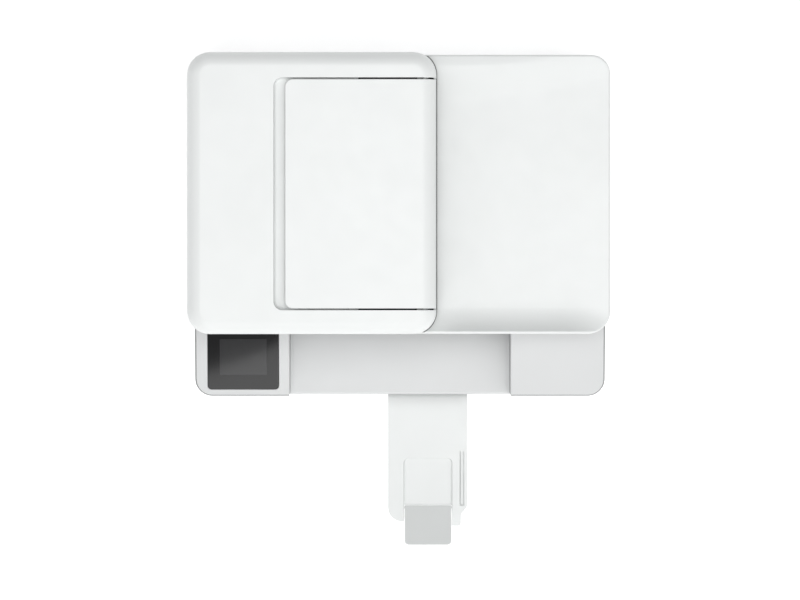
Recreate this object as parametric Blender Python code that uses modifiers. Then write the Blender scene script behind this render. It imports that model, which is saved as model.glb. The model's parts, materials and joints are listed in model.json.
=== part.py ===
"""Desktop all-in-one inkjet printer with a sheet-feed scanner lid, built as an assembly.

Every size below is in millimetres and is turned to metres when a mesh is made. X runs to the
right as seen from the front, Y runs to the back and Z up. The origin is the middle of the
object's footprint, on the surface that the feet stand on. Each moving group hangs on an empty
that stands on the joint's axis.
"""

import math

import bmesh
import bpy
from mathutils import Matrix, Vector

MM = 0.001
SEAM = 0.3            # least gap between two pieces that rest on each other
WALL = 2.5            # moulded wall

# Levels, from the table up
FOOT_HEIGHT = 5
PAN_BOTTOM, PAN_TOP = 5.3, 9
SIDE_TOP = 88.6
POD_BOTTOM = 89.2
BODY_TOP = 162.4
SCANNER_BOTTOM, SCANNER_RIM = 163, 200
PLATEN_FRAME_TOP = 206
LID_BOTTOM = 206.6
LID_DECK = 217.7      # top of the lid under the sheet feeder
LID_RIM = 226.5       # top of the lid's front rim
FEEDER_BOTTOM, FEEDER_SEAM = 218, 236
HEIGHT = 278

# Plan of the lid and the sheet feeder
LID_HALF_WIDTH = 219.5
LID_FRONT, LID_BACK = -32, 258.5
LID_CORNER = 24
FEEDER_RIGHT = 37.5

# Plan of the body
BODY_HALF_WIDTH = 215.5
BODY_FRONT, BODY_BACK = -97.5, 254.5
BODY_CORNER = 17
REAR_COVER_FRONT = 252
POD_INNER = 117.3     # half the width of the output bay
POD_BACK = -16        # where the pods' sloped tops pass under the scanner
POD_DROP = 10.5       # fall of a pod's top from back to front
POD_SLOPE = math.atan2(POD_DROP, POD_BACK - BODY_FRONT)
POD_PIVOT = (0, POD_BACK, 160.5)
POD_LENGTH = (POD_BACK - BODY_FRONT) / math.cos(POD_SLOPE)
CAP = 3

# Paper width that the trays and guides are set to
SHEET_WIDTH = 216
FLAP_FRONT, FLAP_BACK = -5.6, 229.9
SHEET_MIDDLE = (FLAP_FRONT + FLAP_BACK) / 2

# Joint axes
LID_AXIS = (0, 251.5, 208.5)
FEEDER_COVER_AXIS = (-219.4, 112, 236.2)
FLAP_AXIS = (25, 112, 265.5)
INK_DOOR_AXIS = (0, -20.5, 120.5)
REAR_DOOR_AXIS = (0, 250, 46)
STOP_AXIS = (30, -219.5, 92.8)
PICK_ARM_AXIS = (0, 150, 76)
PICK_ROLLER_AXIS = (0, 190, 72)
BUTTON_AXIS = (-190, -98, 122)
FEED_AXIS = (0, 72, 97.2)
EXIT_AXIS = (0, 14, 101)
DRUM_AXIS = (0, 214, 104)
FEEDER_PICK_AXIS = (-75, 112, 251)
GUIDE_ROD = (0, 97, 124)
SCAN_RAIL = (0, 112, 171)

BODY_ORIGINS = {
    "base": (0, 0, 0),
    "lid": LID_AXIS,
    "feeder_cover": FEEDER_COVER_AXIS,
    "feeder_flap": FLAP_AXIS,
    "front_sheet_guide": (0, SHEET_MIDDLE, 250),
    "rear_sheet_guide": (0, SHEET_MIDDLE, 250),
    "feeder_pick": FEEDER_PICK_AXIS,
    "scan_bar": SCAN_RAIL,
    "ink_door": INK_DOOR_AXIS,
    "carriage": GUIDE_ROD,
    "paper_tray": (0, BODY_FRONT, 10),
    "left_width_guide": (0, 90, 14),
    "right_width_guide": (0, 90, 14),
    "length_guide": (0, -80, 14),
    "pick_arm": PICK_ARM_AXIS,
    "pick_roller": PICK_ROLLER_AXIS,
    "feed_roller": FEED_AXIS,
    "exit_roller": EXIT_AXIS,
    "turn_drum": DRUM_AXIS,
    "extension": (30, -170, 92),
    "paper_stop": STOP_AXIS,
    "power_button": BUTTON_AXIS,
    "rear_door": REAR_DOOR_AXIS,
}

# name: (linear colour, roughness, metallic)
FINISHES = {
    "white_plastic": ((0.86, 0.87, 0.865), 0.45, 0.0),
    "light_grey_plastic": ((0.74, 0.745, 0.745), 0.5, 0.0),
    "grey_plastic": ((0.62, 0.635, 0.63), 0.5, 0.0),
    "black_plastic": ((0.03, 0.03, 0.032), 0.45, 0.0),
    "display_glass": ((0.03, 0.03, 0.03), 0.12, 0.0),
    "clear_glass": ((0.55, 0.62, 0.6), 0.05, 0.0),
    "rubber": ((0.045, 0.045, 0.05), 0.8, 0.0),
    "steel": ((0.55, 0.56, 0.57), 0.32, 1.0),
    "circuit_board": ((0.02, 0.16, 0.07), 0.5, 0.0),
    "white_foam": ((0.9, 0.9, 0.88), 0.85, 0.0),
    "cyan_plastic": ((0.0, 0.3, 0.6), 0.4, 0.0),
    "magenta_plastic": ((0.6, 0.02, 0.25), 0.4, 0.0),
    "yellow_plastic": ((0.8, 0.6, 0.02), 0.4, 0.0),
}


def clear_scene():
    for obj in list(bpy.data.objects):
        bpy.data.objects.remove(obj)


def new_collection(name):
    collection = bpy.data.collections.new(name)
    bpy.context.scene.collection.children.link(collection)
    return collection


def make_materials():
    made = {}
    for name, (colour, roughness, metallic) in FINISHES.items():
        material = bpy.data.materials.new(name)
        material.use_nodes = True
        shader = material.node_tree.nodes["Principled BSDF"]
        shader.inputs["Base Color"].default_value = (*colour, 1)
        shader.inputs["Roughness"].default_value = roughness
        shader.inputs["Metallic"].default_value = metallic
        made[name] = material
    return made


# ---------------------------------------------------------------- shapes, as meshes in millimetres

def vertical_edge(bm, x, y):
    """The edge of a block that stands at x, y."""
    return next(
        edge for edge in bm.edges
        if all(abs(v.co.x - x) < 1e-4 and abs(v.co.y - y) < 1e-4 for v in edge.verts)
    )


def bevel(bm, edges, radius, steps):
    bmesh.ops.bevel(
        bm, geom=edges, offset=radius, offset_type="OFFSET", segments=steps,
        profile=0.5, affect="EDGES", clamp_overlap=True, material=-1,
    )


def block(low, high, corners=(0, 0, 0, 0), top=0, bottom=0, steps=4, draft=0):
    """A box. corners rounds its four standing edges, anticlockwise from low x, low y; top and
    bottom round the edges of those faces, and draft narrows the foot on every side."""
    bm = bmesh.new()
    size = Vector(high) - Vector(low)
    middle = (Vector(high) + Vector(low)) / 2
    bmesh.ops.create_cube(bm, size=1, matrix=Matrix.Translation(middle) @ Matrix.Diagonal((*size, 1)))
    places = ((low[0], low[1]), (high[0], low[1]), (high[0], high[1]), (low[0], high[1]))
    for radius, (x, y) in zip(corners, places):
        if radius:
            bevel(bm, [vertical_edge(bm, x, y)], radius, steps)
    for radius, level in ((top, high[2]), (bottom, low[2])):
        if radius:
            face = next(f for f in bm.faces if all(abs(v.co.z - level) < 1e-4 for v in f.verts))
            bevel(bm, list(face.edges), radius, max(2, steps - 1))
    if draft:
        foot = [v for v in bm.verts if v.co.z < middle.z]
        shrink = Vector(((size.x - 2 * draft) / size.x, (size.y - 2 * draft) / size.y, 1))
        bmesh.ops.scale(bm, vec=shrink, verts=foot, space=Matrix.Translation(-middle))
    return bm


def rod(middle, axis, radius, length, sides=16):
    """A cylinder along X, Y or Z."""
    turn = {"X": Matrix.Rotation(math.pi / 2, 4, "Y"), "Y": Matrix.Rotation(math.pi / 2, 4, "X"),
            "Z": Matrix.Identity(4)}[axis]
    bm = bmesh.new()
    bmesh.ops.create_cone(
        bm, cap_ends=True, segments=sides, radius1=radius, radius2=radius, depth=length,
        matrix=Matrix.Translation(middle) @ turn,
    )
    return bm


def arc(centre, radius, start, end, steps):
    """Points on an arc, angles in degrees."""
    angles = [math.radians(start + (end - start) * i / steps) for i in range(steps + 1)]
    return [(centre[0] + radius * math.cos(a), centre[1] + radius * math.sin(a)) for a in angles]


def prism(outline, axis, start, end):
    """A flat outline pulled along an axis. Its points are (x, y) for Z, (y, z) for X and (x, z) for Y."""
    curve = bpy.data.curves.new("outline", "CURVE")
    curve.dimensions = "2D"
    curve.fill_mode = "BOTH"
    curve.extrude = (end - start) / 2
    spline = curve.splines.new("POLY")
    spline.points.add(len(outline) - 1)
    spline.use_cyclic_u = True
    for point, (u, v) in zip(spline.points, outline):
        point.co = (u, v, 0, 1)
    holder = bpy.data.objects.new("outline", curve)
    bpy.context.scene.collection.objects.link(holder)
    bpy.context.view_layer.update()
    mesh = bpy.data.meshes.new_from_object(holder.evaluated_get(bpy.context.evaluated_depsgraph_get()))
    bm = bmesh.new()
    bm.from_mesh(mesh)
    bpy.data.objects.remove(holder)
    bpy.data.meshes.remove(mesh)
    bmesh.ops.remove_doubles(bm, verts=bm.verts, dist=1e-4)
    bmesh.ops.dissolve_limit(bm, angle_limit=0.001, verts=bm.verts, edges=bm.edges)
    middle = (start + end) / 2
    columns = {
        "Z": ((1, 0, 0), (0, 1, 0), (0, 0, 1)),
        "X": ((0, 1, 0), (0, 0, 1), (1, 0, 0)),
        "Y": ((1, 0, 0), (0, 0, 1), (0, -1, 0)),
    }[axis]
    turn = Matrix(columns).transposed().to_4x4()
    shift = {"X": (middle, 0, 0), "Y": (0, middle, 0), "Z": (0, 0, middle)}[axis]
    bmesh.ops.transform(bm, matrix=Matrix.Translation(shift) @ turn, verts=bm.verts)
    return bm


def moved(bm, matrix):
    bmesh.ops.transform(bm, matrix=matrix, verts=bm.verts)
    return bm


def on_pod_slope(bm):
    """Takes a shape from the pod top's own frame, where that top is the plane z = 0."""
    return moved(bm, Matrix.Translation(POD_PIVOT) @ Matrix.Rotation(POD_SLOPE, 4, "X"))


# ---------------------------------------------------------------- objects

class Assembly:
    """The named pieces, the shapes that cut or join them, and the empties that they hang on."""

    def __init__(self):
        self.parts = new_collection("inkjet_printer")
        self.tools = new_collection("cutters")
        self.materials = make_materials()
        self.empties = {}
        for body, origin in BODY_ORIGINS.items():
            empty = bpy.data.objects.new(f"axis_{body}", None)
            empty.location = Vector(origin) * MM
            self.parts.objects.link(empty)
            self.empties[body] = empty

    def _object(self, name, bm, collection, origin):
        bmesh.ops.translate(bm, vec=-Vector(origin), verts=bm.verts)
        bmesh.ops.scale(bm, vec=(MM, MM, MM), verts=bm.verts)
        mesh = bpy.data.meshes.new(name)
        bm.to_mesh(mesh)
        bm.free()
        obj = bpy.data.objects.new(name, mesh)
        collection.objects.link(obj)
        return obj

    def add(self, name, bm, finish, body="base", smooth=None):
        obj = self._object(name, bm, self.parts, BODY_ORIGINS[body])
        obj.data.materials.append(self.materials[finish])
        obj.parent = self.empties[body]
        if smooth:
            obj.data.shade_smooth()
            obj.data.set_sharp_from_angle(angle=math.radians(smooth))
        return obj

    def turned(self, name, profile, axis, finish, body, steps=20):
        """A turned piece. profile lists (place along the axis, radius) from the high end down."""
        mesh = bpy.data.meshes.new(name)
        bm = bmesh.new()
        verts = [bm.verts.new((radius * MM, 0, place * MM)) for place, radius in profile]
        for first, second in zip(verts, verts[1:]):
            bm.edges.new((first, second))
        bm.to_mesh(mesh)
        bm.free()
        obj = bpy.data.objects.new(name, mesh)
        self.parts.objects.link(obj)
        mesh.materials.append(self.materials[finish])
        obj.parent = self.empties[body]
        obj.rotation_euler = {"X": (0, math.pi / 2, 0), "Y": (-math.pi / 2, 0, 0)}[axis]
        screw = obj.modifiers.new("turn", "SCREW")
        screw.steps = screw.render_steps = steps
        screw.use_merge_vertices = True
        screw.merge_threshold = 1e-5
        screw.use_smooth_shade = True
        return obj

    def _boolean(self, obj, bm, operation):
        tool = self._object(f"{obj.name}_{operation.lower()}", bm, self.tools, (0, 0, 0))
        tool.hide_render = True
        tool.display_type = "WIRE"
        modifier = obj.modifiers.new(operation.lower(), "BOOLEAN")
        modifier.operation = operation
        modifier.object = tool

    def cut(self, obj, *shapes):
        for bm in shapes:
            self._boolean(obj, bm, "DIFFERENCE")

    def join(self, obj, *shapes):
        for bm in shapes:
            self._boolean(obj, bm, "UNION")


def sided(side, low, high):
    """A box's corners with X mirrored to the left for side -1."""
    xs = sorted((side * low[0], side * high[0]))
    return (xs[0], *low[1:]), (xs[1], *high[1:])


def outer_front(side, radius):
    """Corner radii for a piece whose outer front corner is rounded."""
    return (radius, 0, 0, 0) if side < 0 else (0, radius, 0, 0)


# ---------------------------------------------------------------- outer body

def make_pan_and_feet(kit):
    low = (-BODY_HALF_WIDTH, BODY_FRONT, PAN_BOTTOM)
    high = (BODY_HALF_WIDTH, BODY_BACK, PAN_TOP)
    kit.add("base_pan", block(low, high, corners=(BODY_CORNER, BODY_CORNER, 4, 4)), "grey_plastic")
    for place, x, y in (
        ("front_left", -185, -70), ("front_right", 185, -70),
        ("rear_left", -185, 228), ("rear_right", 185, 228),
    ):
        pad = block((x - 11, y - 11, 0), (x + 11, y + 11, FOOT_HEIGHT), corners=(5, 5, 5, 5), steps=3)
        kit.add(f"foot_{place}", pad, "rubber")


def make_side_cover(kit, side):
    name = "left_side_cover" if side < 0 else "right_side_cover"
    low, high = sided(side, (196, BODY_FRONT, PAN_TOP + SEAM), (BODY_HALF_WIDTH, 251.7, SIDE_TOP))
    cover = kit.add(name, block(low, high, corners=outer_front(side, BODY_CORNER), steps=5), "light_grey_plastic")
    low, high = sided(side, (190, BODY_FRONT + WALL, 0), (BODY_HALF_WIDTH - WALL, 260, 100))
    kit.cut(cover, block(low, high, corners=outer_front(side, BODY_CORNER - WALL), steps=5))


def make_pod(kit, side):
    """The upper side wall with its front corner pod: a wall that turns in along the front and back
    along the output bay, with a sloped top edge."""
    name = "left_pod" if side < 0 else "right_pod"
    low, high = sided(side, (POD_INNER, BODY_FRONT, POD_BOTTOM), (BODY_HALF_WIDTH, 251.7, BODY_TOP))
    pod = kit.add(name, block(low, high, corners=outer_front(side, BODY_CORNER), steps=5), "light_grey_plastic")
    low, high = sided(side, (POD_INNER + WALL, BODY_FRONT + WALL, 80), (BODY_HALF_WIDTH - WALL, 260, 180))
    kit.cut(pod, block(low, high, corners=outer_front(side, BODY_CORNER - WALL), steps=5))
    kit.cut(pod, block(*sided(side, (100, POD_BACK + 2, 80), (POD_INNER + 10, 260, 180))))
    above = block((-300, -POD_LENGTH - 20, -CAP - SEAM), (300, SEAM, 40))
    kit.cut(pod, on_pod_slope(above))
    door_pin = rod((side * (POD_INNER + 1), INK_DOOR_AXIS[1], INK_DOOR_AXIS[2]), "X", 2.5, 8)
    kit.cut(pod, door_pin)
    return pod


def make_pod_cap(kit, side):
    name = "control_panel_bezel" if side < 0 else "right_pod_cap"
    low, high = sided(side, (POD_INNER, -POD_LENGTH, -CAP), (BODY_HALF_WIDTH, 0, 0))
    plate = block(low, high, corners=outer_front(side, BODY_CORNER), top=1, steps=5)
    return kit.add(name, on_pod_slope(plate), "light_grey_plastic")


def make_control_panel(kit, pod, bezel):
    low, high = (-203.3, -76, -CAP), (-128.3, -11.6, 0.1)
    gap = (SEAM, SEAM, 2)
    hole = block(Vector(low) - Vector(gap), Vector(high) + Vector(gap), corners=(4,) * 4, steps=4)
    kit.cut(bezel, on_pod_slope(hole))
    glass = block(low, high, corners=(4,) * 4, steps=3)
    kit.add("display_glass", on_pod_slope(glass), "display_glass")
    x, y, z = BUTTON_AXIS
    kit.cut(pod, rod((x, BODY_FRONT, z), "Y", 6.5, 20))
    button = kit.add("power_button", rod((x, y + 3.2, z), "Y", 6, 7), "light_grey_plastic", "power_button")
    kit.join(button, rod((x, BODY_FRONT + WALL + 1.3, z), "Y", 7.6, 1.8))
    socket = block((-168, BODY_FRONT + 0.4, 104.5), (-152, BODY_FRONT + 17, 113), corners=(0,) * 4)
    port = kit.add("usb_host_port", socket, "black_plastic")
    kit.cut(port, block((-166.3, -120, 106.2), (-153.7, BODY_FRONT + 14, 111.3)))
    kit.cut(pod, block((-168.4, -110, 104.1), (-151.6, -90, 113.4)))


def make_rear_cover(kit):
    low = (-BODY_HALF_WIDTH, REAR_COVER_FRONT, PAN_TOP + SEAM)
    high = (BODY_HALF_WIDTH, BODY_BACK, BODY_TOP)
    cover = kit.add("rear_cover", block(low, high, corners=(0, 0, 2, 2), steps=2), "light_grey_plastic")
    kit.cut(cover, block((-112, 240, 40.8), (112, 260, 124)))
    for side in (-1, 1):
        ear = block(*sided(side, (112.3, 246, 41), (116.5, 253, 51)))
        kit.join(cover, ear)
    kit.cut(cover, rod((0, *REAR_DOOR_AXIS[1:]), "X", 2.4, 231))

    door = kit.add("rear_door", block((-111, 252, 47), (111, 254.5, 123)), "light_grey_plastic", "rear_door")
    hinge_bar = block((-111, 247.8, 43.8), (111, 252.6, 48.2))
    kit.join(door, hinge_bar, rod((0, *REAR_DOOR_AXIS[1:]), "X", 2, 228))
    rib_shape = [(252.3, 60), (244, 72), (242, 88), (244, 104), (252.3, 116)]
    for x in (-90, -45, 0, 45, 90):
        kit.join(door, prism(rib_shape, "X", x - 1, x + 1))
    kit.cut(door, block((-14, 253.2, 112), (14, 256, 119)))

    for name, x, width, z, height, depth in (
        ("network_port", 158, 17, 30, 14, 16),
        ("usb_device_port", 182, 13, 30, 12, 16),
        ("power_inlet", -176, 27, 28, 20, 20),
    ):
        low = (x - width / 2, BODY_BACK - depth, z)
        high = (x + width / 2, BODY_BACK - 0.2, z + height)
        port = kit.add(name, block(low, high), "black_plastic")
        lip = 2
        kit.cut(port, block((low[0] + lip, low[1] + 2, z + lip), (high[0] - lip, 270, z + height - lip)))
        kit.cut(cover, block((low[0] - SEAM, 240, z - SEAM), (high[0] + SEAM, 270, z + height + SEAM)))
        if name == "power_inlet":
            for pin_x in (x - 5, x + 5):
                kit.join(port, rod((pin_x, BODY_BACK - 12.5, z + height / 2), "Y", 1.6, 15, sides=8))


def make_output_bed(kit):
    """The bed that printed sheets fall on, with the slot and rails of its pull-out extension."""
    front, lip = BODY_FRONT, 2.5
    outline = [
        (front, 88.9), *arc((front + lip, 109.5), lip, 180, 90, 3), (-25, 101), (8, 99.6), (8, 96.6),
        (-25, 98), (front + 3.8, 108.6), (front + 2.8, 107.6), (front + 2.8, 88.9),
    ]
    bed = kit.add("output_bed", prism(outline, "X", -POD_INNER + 0.5, POD_INNER - 0.5), "light_grey_plastic")
    for outer, inner in ((-18.5, -14.5), (77.8, 73.8)):
        xs = sorted((outer, inner))
        kit.join(bed, block((xs[0], front + 1, 89.4), (xs[1], -5, 99.4)))
    for inner, foot in ((-17, -10.5), (76.4, 69.8)):
        xs = sorted((inner, foot))
        kit.join(bed, block((xs[0], front + 4, 89), (xs[1], -5.5, 90.3)))
    slot_top = 106
    kit.cut(bed, block((-14.2, front - 5, 80), (73.5, front + 3.4, slot_top)))
    return bed


def make_extension(kit):
    """The pull-out tongue. Its right front is cut back beside a finger tab, a slit frees a spring
    finger near the right edge, and a recess takes the folded paper stop."""
    left, right, inner_end = -12.9, 72.2, -60
    stop_left, stop_right = 4.6, 55.4
    left_front, tab_front, shoulder = -234.5, -239.3, -219.5
    outline = [
        (left, inner_end), *arc((left + 15, left_front + 15), 15, 180, 270, 5),
        (stop_left, left_front), (stop_left, -216.8), (stop_right, -216.8), (stop_right, tab_front),
        *arc((63.5, tab_front + 2), 2, 270, 360, 2), (65.5, shoulder - 7),
        *arc((right - 6, shoulder + 3), 6, -50, 0, 3), (right, inner_end),
    ]
    tongue = kit.add("extension_tongue", prism(outline, "Z", 90.8, 94.8), "white_plastic", "extension")
    kit.cut(tongue, block((stop_left, -220, 91.5), (stop_right, -166.8, 100), corners=(0, 0, 5, 5)))
    slit = 1.1
    for low, high in (((64.0, -159.4), (64 + slit, -217.4)), ((68.2, -159.4), (68.2 + slit, -217.4)),
                      ((64.0, -216.3), (68.2 + slit, -217.4))):
        ys = sorted((low[1], high[1]))
        kit.cut(tongue, block((low[0], ys[0], 80), (high[0], ys[1], 100)))
    kit.cut(tongue, rod((30, STOP_AXIS[1], STOP_AXIS[2]), "X", 1.45, 57, sides=12))
    kit.join(tongue, block((10, inner_end - 6, 94.5), (48, inner_end - 2, 95.6)))

    root, reach, half_thick = -2.2, 46.9, 1
    middle = (stop_left + stop_right) / 2
    half = (stop_right - stop_left) / 2 - 0.5
    plate = block((middle - half, root, -half_thick), (middle + half, reach, half_thick), corners=(0, 0, 5, 5))
    rise = math.radians(180 - 35)
    swing = Matrix.Translation((0, *STOP_AXIS[1:])) @ Matrix.Rotation(rise, 4, "X")
    stop = kit.add("paper_stop", moved(plate, swing), "grey_plastic", "paper_stop")
    kit.join(stop, rod((middle, STOP_AXIS[1], STOP_AXIS[2]), "X", 1.1, 2 * half + 5.5, sides=12))


def make_ink_door(kit):
    y, z = INK_DOOR_AXIS[1:]
    half = POD_INNER - 1
    outline = [
        *arc((y, z), 3, 180, 360, 6), (y + 3, z + 39.5), (y, z + 39.5), (y - 1, z + 38), (y - 1, z + 4),
    ]
    door = kit.add("ink_door", prism(outline, "X", -half, half), "light_grey_plastic", "ink_door")
    kit.join(door, rod((0, y, z), "X", 2, 2 * (POD_INNER + WALL) - 0.6))
    kit.cut(door, block((-24, y - 4, z + 33), (24, y, z + 42)))


# ---------------------------------------------------------------- paper tray

def make_paper_tray(kit):
    low, high = (-125, -92.6, 11), (125, 222, 60)
    tray = kit.add("tray_body", block(low, high, corners=(0, 0, 8, 8), steps=3), "grey_plastic", "paper_tray")
    kit.cut(tray, block((-122.5, -90.1, 13.5), (122.5, 219.5, 80), corners=(0, 0, 6, 6), steps=3))
    kit.cut(tray, block((-40, -100, 48), (40, -85, 80)))
    low, high = (-195.5, BODY_FRONT, 10.5), (195.5, -93, 88)
    front = kit.add("tray_front", block(low, high), "light_grey_plastic", "paper_tray")
    notch = prism(
        [(-44, 95), *arc((-34, 76), 10, 180, 270, 3), *arc((34, 76), 10, 270, 360, 3), (44, 95)],
        "Y", -110, -80)
    kit.cut(front, notch)
    for side in (-1, 1):
        name = "left" if side < 0 else "right"
        inner = SHEET_WIDTH / 2 + 0.5
        guide = kit.add(
            f"{name}_width_guide", block(*sided(side, (inner, 40, 14), (inner + 2.5, 140, 50))),
            "grey_plastic", f"{name}_width_guide")
        kit.join(guide, block(*sided(side, (70, 80, 14), (inner + 1, 100, 16))))
    guide = kit.add("length_guide", block((-20, -84, 14), (20, -81.5, 45)), "grey_plastic", "length_guide")
    kit.join(guide, block((-16, -82, 14), (16, -54, 16)))


# ---------------------------------------------------------------- print mechanism

def make_print_mechanism(kit):
    kit.add("carriage_beam", block((-208, 119, 92), (208, 121, 158)), "steel")
    kit.add("guide_rod", rod(GUIDE_ROD, "X", 4, 420), "steel", smooth=40)
    platen = kit.add("platen", block((-113, 26, 96), (113, 62, 104)), "black_plastic")
    kit.cut(platen, block((-109, 34, 100.5), (109, 54, 110)))
    tyre, shaft = 8, 3
    profile = [(200, 0), (200, shaft)]
    for middle in (80, 0, -80):
        profile += [(middle + 25, shaft), (middle + 25, tyre), (middle - 25, tyre), (middle - 25, shaft)]
    profile += [(-200, shaft), (-200, 0)]
    kit.turned("feed_roller", profile, "X", "rubber", "feed_roller", steps=16)
    tyre, shaft = 4.8, 2
    profile = [(116, 0), (116, shaft)]
    for middle in (90, 45, 0, -45, -90):
        profile += [(middle + 5, shaft), (middle + 5, tyre), (middle - 5, tyre), (middle - 5, shaft)]
    profile += [(-116, shaft), (-116, 0)]
    kit.turned("exit_roller", profile, "X", "rubber", "exit_roller", steps=14)
    tyre, shaft = 20, 5
    profile = [(118, 0), (118, shaft)]
    for middle in (75, 0, -75):
        profile += [(middle + 20, shaft), (middle + 20, tyre), (middle - 20, tyre), (middle - 20, shaft)]
    profile += [(-118, shaft), (-118, 0)]
    kit.turned("turn_drum", profile, "X", "rubber", "turn_drum")

    y, z = PICK_ARM_AXIS[1:]
    arm = kit.add("pick_arm", block((-14, y - 6, z - 5), (14, y + 16, z + 5)), "black_plastic", "pick_arm")
    for side in (-1, 1):
        kit.join(arm, block(*sided(side, (11, y - 2, z - 7.5), (14, 196, z + 2))))
    kit.join(arm, rod(PICK_ARM_AXIS, "X", 3, 120, sides=12))
    kit.cut(arm, rod(PICK_ROLLER_AXIS, "X", 2.5, 40, sides=12))
    kit.turned(
        "pick_roller", [(13.8, 0), (13.8, 2), (10, 2), (10, 9), (-10, 9), (-10, 2), (-13.8, 2), (-13.8, 0)],
        "X", "rubber", "pick_roller", steps=18)

    kit.add("service_station", block((117, 22, 95), (202, 66, 104.8)), "black_plastic")
    belt = kit.add("drive_belt", racetrack(203, 6.2), "rubber")
    kit.cut(belt, racetrack(203, 5, extra=2))
    motor = kit.add("carriage_motor", rod((-195, 138, 128), "Y", 14, 32, sides=20), "steel", smooth=40)
    kit.join(motor, rod((-203, 118, 128), "Y", 2, 18, sides=12), rod((-203, 113, 128), "Y", 4.6, 5.4, sides=16))
    kit.join(motor, block((-208, 121.6, 118), (-188, 124, 138)))
    beam = bpy.data.objects["carriage_beam"]
    kit.cut(beam, rod((-203, 118, 128), "Y", 3, 30, sides=12))
    kit.join(beam, rod((203, 114.5, 128), "Y", 4.6, 11, sides=16))


def racetrack(half_length, radius, extra=0):
    """The drive belt's loop round two pulleys, as a flat outline."""
    level = 128
    outline = arc((half_length, level), radius, -90, 90, 6) + arc((-half_length, level), radius, 90, 270, 6)
    return prism(outline, "Y", 110.5 - extra, 115.5 + extra)


def make_carriage(kit):
    left, pitch, slot = 112, 21.5, 20.4
    body = kit.add("carriage_body", block((110, 18, 114), (200, 108, 136)), "black_plastic", "carriage")
    kit.join(body, block((120, 28, 106.2), (190, 58, 114.5)))
    for index, ink in enumerate(("black_ink", "cyan_ink", "magenta_ink", "yellow_ink")):
        x = left + index * pitch + (pitch - slot) / 2
        kit.cut(body, block((x, 21, 117), (x + slot, 88, 145)))
        finish = "black_plastic" if index == 0 else ink.replace("_ink", "_plastic")
        low, high = (x + 0.4, 21.5, 117.4), (x + slot - 0.4, 87.5, 154)
        cartridge = kit.add(ink, block(low, high), finish, "carriage")
        kit.join(cartridge, block((x + 5, 18.2, 137), (x + 15, 22, 140)))
    kit.cut(body, rod((155, *GUIDE_ROD[1:]), "X", 4.6, 100))


def make_electronics(kit):
    kit.add("power_supply", block((-205, 120, 12), (-142, 226, 78), steps=2), "black_plastic")
    board = kit.add("logic_board", block((206, 90, 20), (207.8, 240, 84)), "circuit_board")
    for low, high in (((199, 110, 30), (206.5, 140, 42)), ((203, 160, 45), (206.5, 190, 75)),
                      ((197, 205, 24), (206.5, 220, 60))):
        kit.join(board, block(low, high))


# ---------------------------------------------------------------- scanner

def make_scanner(kit):
    half = 216
    low, high = (-half, -28.5, SCANNER_BOTTOM), (half, BODY_BACK, SCANNER_RIM)
    tray = kit.add("scanner_tray", block(low, high, corners=(22, 22, 6, 6), draft=4), "light_grey_plastic")
    low, high = (-half + 8, -20, SCANNER_BOTTOM + 2.5), (half - 8, 246, 210)
    kit.cut(tray, block(low, high, corners=(16, 16, 3, 3)))
    low, high = (-half, -29.5, SCANNER_RIM + SEAM), (half, 243.8, PLATEN_FRAME_TOP)
    frame = kit.add("scanner_frame", block(low, high, corners=(22, 22, 2, 2), top=1), "white_plastic")
    kit.cut(frame, block((-152, 1, 202.2), (152, 223, 220)))
    kit.cut(frame, block((-149, 4, 190), (149, 220, 220)))
    kit.cut(frame, block((-187, 1, 204.8), (-168, 223, 220)))
    kit.add("scanner_glass", block((-151.6, 1.4, 202.5), (151.6, 222.6, 205.6)), "clear_glass")
    y, z = SCAN_RAIL[1:]
    rail = [(y - 3, SCANNER_BOTTOM + 1), (y + 3, SCANNER_BOTTOM + 1), *arc((y, z), 3, 0, 180, 6)]
    kit.join(tray, prism(rail, "X", -half + 7, half - 7))
    bar = kit.add("scan_bar", block((-188, 0, 179), (-166, 224, 197)), "black_plastic", "scan_bar")
    kit.join(bar, block((-187.5, 103, 165.9), (-166.5, 121, 180)))
    y, z = SCAN_RAIL[1:]
    groove = [(y - 3.5, SCANNER_BOTTOM), (y + 3.5, SCANNER_BOTTOM), *arc((y, z), 3.5, 0, 180, 6)]
    kit.cut(bar, prism(groove, "X", -195, -160))
    for side, name in ((-1, "left"), (1, "right")):
        make_lid_hinge(kit, side * 160, name)


def make_lid_hinge(kit, x, name):
    """A post that stands on the scanner's floor behind the glass and carries the lid's pin."""
    y, z = LID_AXIS[1:]
    post = kit.add(f"{name}_lid_hinge", block((x - 7, 238.5, 166), (x + 7, 243.4, 199.9)), "light_grey_plastic")
    kit.join(post, block((x - 7, 242, 190), (x + 7, y, 199.9)))
    kit.join(post, block((x - 7, 247, 195), (x + 7, y, z)), rod((x, y, z), "X", 5, 14))
    kit.cut(post, rod((x, y, z), "X", 2.4, 20))
    kit.cut(bpy.data.objects["scanner_tray"], block((x - 8, 240, 188), (x + 8, 253, 204)))


# ---------------------------------------------------------------- lid and sheet feeder

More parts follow.
